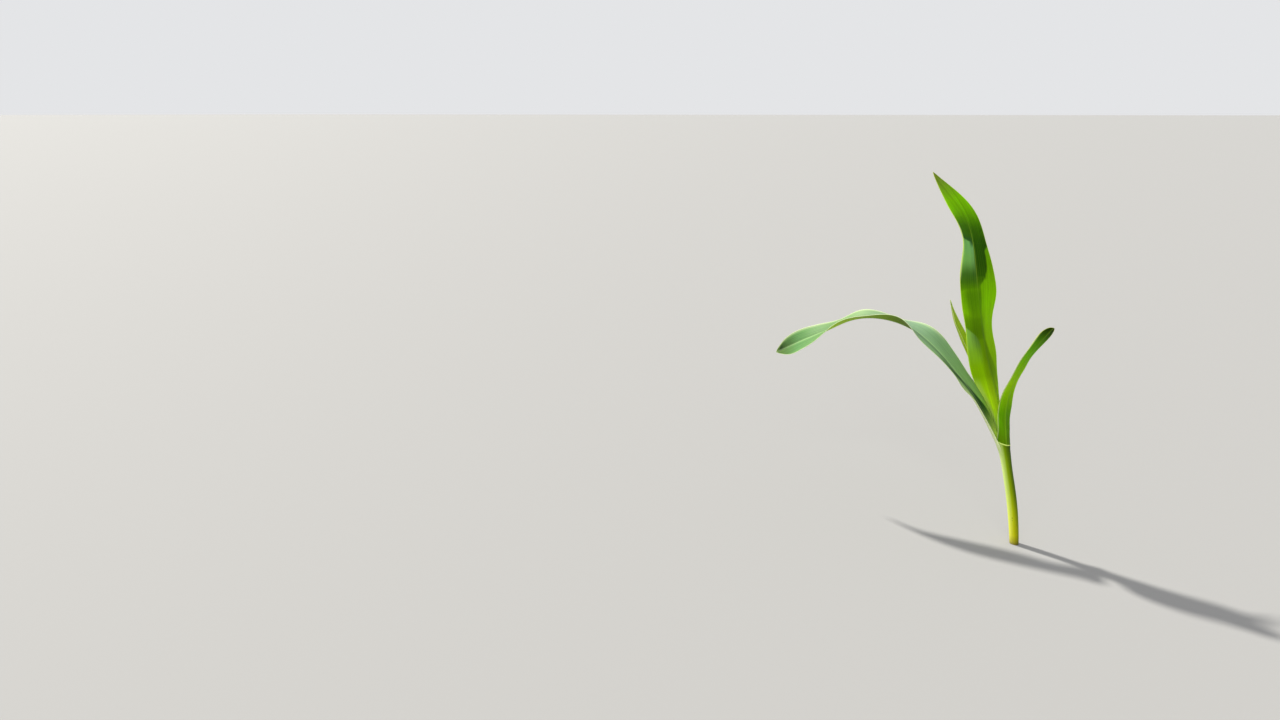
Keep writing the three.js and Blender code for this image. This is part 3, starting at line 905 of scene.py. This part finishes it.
def speck_share(n, place):
    """1 on the specks and 0 elsewhere."""
    total = 0.0
    for z, degrees, radius in SPECKS:
        middle = stem_middle(np.array([z]))[0]
        out = stem_radius(z, math.radians(degrees - NEAR_RANK)) * compass(degrees)
        gap = n.add("ShaderNodeVectorMath", operation="DISTANCE")
        n.put(gap.inputs[0], place)
        gap.inputs[1].default_value = (middle + out) * MM
        share = n.step(radius * MM, radius * MM / 2, gap.outputs["Value"])
        total = n.math("MAXIMUM", share, total)
    return total


def stem_material():
    n = Nodes("stem")
    place = n.place()
    surface = n.add("ShaderNodeBsdfPrincipled")
    n.put(surface.inputs["Base Color"], n.mix(speck_share(n, place), sheath_colour(n), SPECK_COLOUR))
    surface.inputs["Roughness"].default_value = SHEATH_ROUGHNESS
    surface.inputs["Specular IOR Level"].default_value = SHEATH_SPECULAR
    surface.inputs["Subsurface Weight"].default_value = SHEATH_SUBSURFACE["weight"]
    surface.inputs["Subsurface Radius"].default_value = SHEATH_SUBSURFACE["radius"]
    n.put(surface.inputs["Normal"], n.bump(n.noise(place, SHEATH_BUMP["cells"]), SHEATH_BUMP))
    return n.finish(surface.outputs[0])


# Collar rim of leaf 1: from and to which place across it runs, its radius from the left end to the right,
# how far its middle stands out of the blade, how blunt its ends are, and the rings and sides of its mesh
RIM = dict(
    start=-0.94, stop=0.97, radius=[0.15, 0.25, 0.3, 0.18, 0.12], proud=0.03, bluntness=8,
    rings=120, sides=14,
)
RIM_COLOURS = (srgb(175, 205, 70), srgb(210, 228, 120))
RIM_CELLS = 1400.0
LEAST_RIM = 0.05


def rim_mesh():
    """Closed tube over the under face of leaf 1 along its collar line."""
    _, under, _, t, u = blade_faces("leaf_1")
    past, slope = COLLAR_LINES["leaf_1"]
    place = np.linspace(RIM["start"], RIM["stop"], RIM["rings"])
    at = (past + slope * place) / LEAVES["leaf_1"]["length"]
    lines = np.array([[np.interp(at, t, under[:, j, k]) for j in range(len(u))] for k in range(3)])
    middle = np.array([[np.interp(x, u, line[:, i]) for line in lines] for i, x in enumerate(place)])
    forward = np.gradient(middle, axis=0)
    forward /= np.linalg.norm(forward, axis=1, keepdims=True)
    out = middle - stem_middle(middle[:, 2])
    out -= (out * forward).sum(1, keepdims=True) * forward
    out /= np.linalg.norm(out, axis=1, keepdims=True)
    beside = np.cross(forward, out)
    s = np.linspace(0, 1, RIM["rings"])
    ends = np.sqrt(np.clip(1 - np.abs(2 * s - 1) ** RIM["bluntness"], LEAST_RIM, 1))
    radius = along(RIM["radius"], s) * ends
    turn = np.linspace(0, TURN, RIM["sides"], endpoint=False)[None, :, None]
    ring = np.cos(turn) * out[:, None, :] + np.sin(turn) * beside[:, None, :]
    points = (middle + RIM["proud"] * out)[:, None, :] + radius[:, None, None] * ring
    quads, caps = tube_faces(RIM["rings"], RIM["sides"])
    return points.reshape(-1, 3), quads, {}, caps


def rim_material():
    n = Nodes("collar")
    cells = n.noise(n.place(), RIM_CELLS)
    surface = n.add("ShaderNodeBsdfPrincipled")
    n.put(surface.inputs["Base Color"], n.mix(cells, *RIM_COLOURS))
    surface.inputs["Roughness"].default_value = SHEATH_ROUGHNESS
    return n.finish(surface.outputs[0])


def dress(name, mesh, material, nodes=()):
    """Makes a piece of the plant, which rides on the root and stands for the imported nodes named."""
    piece = make_object(name, *mesh)
    piece.data.materials.append(material)
    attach(piece, "root")
    if nodes:
        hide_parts(*nodes)


def make_plant():
    dress("young_stem", stem_mesh(), stem_material(), ["stem"])
    dress("leaf_1_collar", rim_mesh(), rim_material())
    for name, nodes in STANDS_FOR.items():
        dress(f"{name}_blade", closed_blade(name), leaf_material(name), nodes)


# Camera: a wide lens, 208 mm above the ground and 462 mm in front of the plant, that looks down by its
# pitch and to the left by its heading, in degrees
CAMERA_PLACE = (0.0, -0.462, 0.208)
CAMERA_LENS = 26
CAMERA_SENSOR = 36
CAMERA_PITCH = 15.0
CAMERA_HEADING = 23.86
CAMERA_NEAR = 0.01


def make_camera():
    camera = bpy.data.cameras.new("camera")
    camera.lens = CAMERA_LENS
    camera.sensor_width = CAMERA_SENSOR
    camera.clip_start = CAMERA_NEAR
    holder = bpy.data.objects.new("camera", camera)
    holder.location = CAMERA_PLACE
    holder.rotation_euler = (math.radians(90 - CAMERA_PITCH), 0, math.radians(CAMERA_HEADING))
    bpy.context.scene.collection.objects.link(holder)
    bpy.context.scene.camera = holder


# Soft studio light: a key light from the left and behind, a broad weak one from the front, and a pale
# surround. towards points from the plant to the light and angle is its spread in degrees.
LIGHTS = {
    "key": dict(towards=(-0.65, 0.21, 0.73), energy=6.0, angle=3.0, colour=(1.0, 0.97, 0.9)),
    "front": dict(towards=(0.05, -0.9, 0.4), energy=1.5, angle=40, colour=(1.0, 1.0, 1.0)),
}
SURROUND = dict(colour=(0.97, 0.98, 1.0, 1), strength=0.8)


def make_light():
    world = bpy.data.worlds.new("studio")
    world.use_nodes = True
    background = world.node_tree.nodes["Background"]
    background.inputs["Color"].default_value = SURROUND["colour"]
    background.inputs["Strength"].default_value = SURROUND["strength"]
    bpy.context.scene.world = world
    for name, look in LIGHTS.items():
        sun = bpy.data.lights.new(name, "SUN")
        sun.energy = look["energy"]
        sun.angle = math.radians(look["angle"])
        sun.color = look["colour"]
        holder = bpy.data.objects.new(name, sun)
        x, y, z = np.array(look["towards"]) / np.linalg.norm(look["towards"])
        holder.rotation_euler = (math.acos(z), 0, math.atan2(y, x) + math.pi / 2)
        bpy.context.scene.collection.objects.link(holder)


# Plain pale floor, with its reach from the origin in metres
FLOOR = dict(reach=80.0, colour=(0.26, 0.258, 0.254, 1), roughness=0.9)


def make_floor():
    reach = FLOOR["reach"]
    mesh = bpy.data.meshes.new("floor")
    corners = [(-reach, -reach, 0), (reach, -reach, 0), (reach, reach, 0), (-reach, reach, 0)]
    mesh.from_pydata(corners, [], [(0, 1, 2, 3)])
    floor = bpy.data.objects.new("floor", mesh)
    bpy.context.scene.collection.objects.link(floor)
    n = Nodes("floor")
    surface = n.add("ShaderNodeBsdfPrincipled")
    surface.inputs["Base Color"].default_value = FLOOR["colour"]
    surface.inputs["Roughness"].default_value = FLOOR["roughness"]
    floor.data.materials.append(n.finish(surface.outputs[0]))


make_camera()
make_light()
make_floor()
make_plant()
bpy.context.scene.view_settings.view_transform = "Standard"
